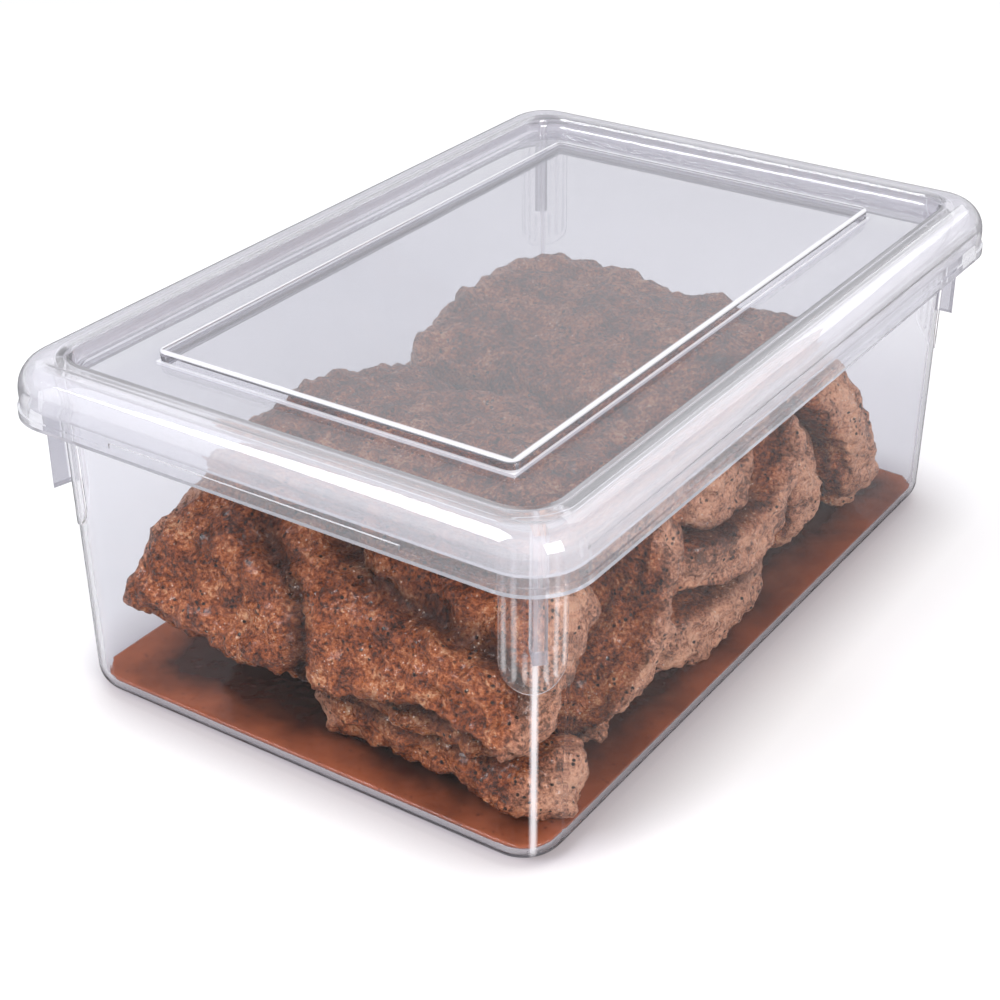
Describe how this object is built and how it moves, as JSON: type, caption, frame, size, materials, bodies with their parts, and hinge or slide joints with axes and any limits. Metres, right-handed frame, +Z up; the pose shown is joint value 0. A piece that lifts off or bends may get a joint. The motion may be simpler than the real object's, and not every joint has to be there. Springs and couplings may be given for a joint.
{
  "type": "deli food pan with lid",
  "caption": "Clear plastic deli storage pan with a rolled rim, corner lugs and a clear lift-off lid, holding steaks in marinade.",
  "frame": {"origin": "middle of the pan's underside, on the surface it stands on", "axes": "+Z up, Y along the pan's long side, X along its short side"},
  "size_m": [0.24, 0.356, 0.1427],
  "materials": {
    "clear_plastic": "clear, polished",
    "clear_lid_plastic": "clear, polished",
    "marinade": "wet liquid",
    "meat": "wet, soft"
  },
  "bodies": {
    "pan": {"pan": "clear_plastic", "marinade": "marinade", "steak_1": "meat", "steak_2": "meat", "steak_3": "meat", "steak_4": "meat", "steak_5": "meat", "steak_6": "meat", "steak_7": "meat", "steak_8": "meat", "steak_9": "meat", "steak_10": "meat", "steak_11": "meat"},
    "lid": {"lid": "clear_lid_plastic"}
  },
  "joints": [
    {"name": "lid_lift", "type": "slide", "parent": "pan", "child": "lid", "axis": [0, 0, 1], "range_m": [0, 0.08]}
  ]
}
